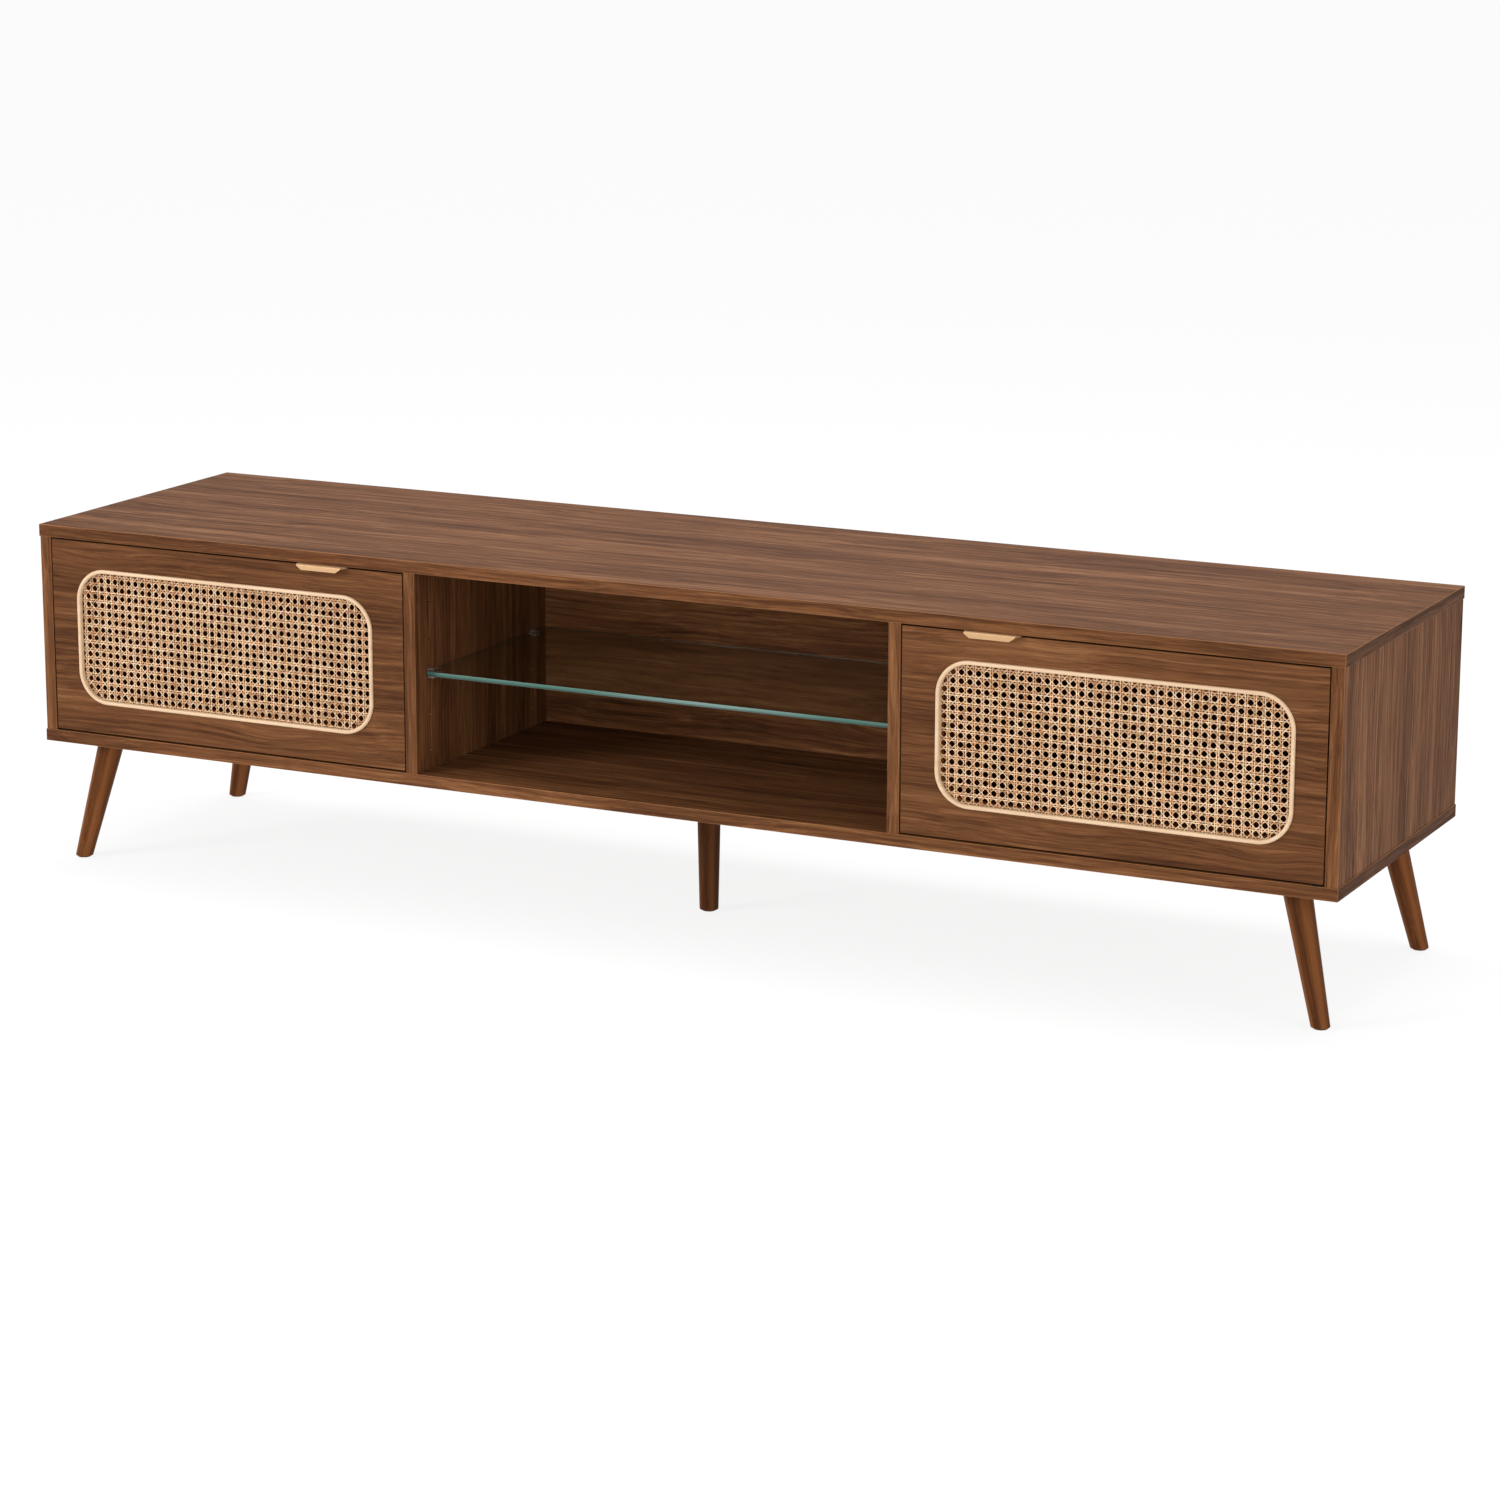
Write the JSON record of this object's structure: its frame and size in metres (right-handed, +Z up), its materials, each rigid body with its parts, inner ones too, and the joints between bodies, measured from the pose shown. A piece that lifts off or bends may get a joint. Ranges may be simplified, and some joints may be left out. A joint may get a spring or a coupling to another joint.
{
  "type": "media cabinet",
  "caption": "Low walnut media cabinet with cane-fronted side doors, a central open bay with a glass shelf, and splayed tapered legs.",
  "frame": {"origin": "on the floor, midway along the length, and midway between the handles' front edge and the rear edge of the case", "axes": "+X to the right seen from the front, +Y to the back, +Z up"},
  "size_m": [1.8, 0.46, 0.457],
  "materials": {
    "walnut_veneer": "satin walnut veneer",
    "leg_wood": "satin, stained solid wood",
    "back_board": "matt, foil-faced board",
    "pale_wood": "satin, pale bent wood",
    "cane": "woven cane webbing",
    "beech": "raw",
    "brushed_brass": "brushed, champagne tone",
    "clear_glass": "clear, polished edges",
    "chrome_fitting": "bright",
    "steel": "zinc plated",
    "zinc": "die-cast zinc",
    "nylon": "black nylon",
    "black_steel": "black oxide",
    "catch_plastic": "brown plastic"
  },
  "bodies": {
    "carcass": {"top_panel": "walnut_veneer", "bottom_panel": "walnut_veneer", "left_side_panel": "walnut_veneer", "right_side_panel": "walnut_veneer", "left_divider": "walnut_veneer", "right_divider": "walnut_veneer", "left_back_panel": "back_board", "right_back_panel": "back_board", "centre_back_panel": "walnut_veneer", "cam_locks": "zinc", "cam_bolts": "steel", "wood_dowels": "beech", "confirmat_screws": "steel", "front_left_leg": "leg_wood", "front_right_leg": "leg_wood", "rear_left_leg": "leg_wood", "rear_right_leg": "leg_wood", "centre_leg": "leg_wood", "leg_bolts": "steel", "leg_inserts": "zinc", "foot_pads": "nylon", "glass_shelf": "clear_glass", "shelf_supports": "chrome_fitting", "pivot_bushes": "nylon", "left_magnetic_catch": "catch_plastic", "right_magnetic_catch": "catch_plastic", "catch_magnets": "steel", "catch_screws": "steel"},
    "left_door": {"left_door_panel": "walnut_veneer", "left_cane_trim": "pale_wood", "left_cane_panel": "cane", "left_cane_retainer": "leg_wood", "left_pivot_pins": "black_steel", "left_handle": "brushed_brass", "left_handle_screws": "brushed_brass", "left_strike_plate": "steel", "left_strike_screw": "steel"},
    "right_door": {"right_door_panel": "walnut_veneer", "right_cane_trim": "pale_wood", "right_cane_panel": "cane", "right_cane_retainer": "leg_wood", "right_pivot_pins": "black_steel", "right_handle": "brushed_brass", "right_handle_screws": "brushed_brass", "right_strike_plate": "steel", "right_strike_screw": "steel"}
  },
  "joints": [
    {"name": "left_door_hinge", "type": "hinge", "parent": "carcass", "child": "left_door", "pos_m": [-0.873, -0.214, 0.311], "axis": [0, 0, -1], "range_deg": [0, 105]},
    {"name": "right_door_hinge", "type": "hinge", "parent": "carcass", "child": "right_door", "pos_m": [0.873, -0.214, 0.311], "axis": [0, 0, 1], "range_deg": [0, 105]}
  ]
}
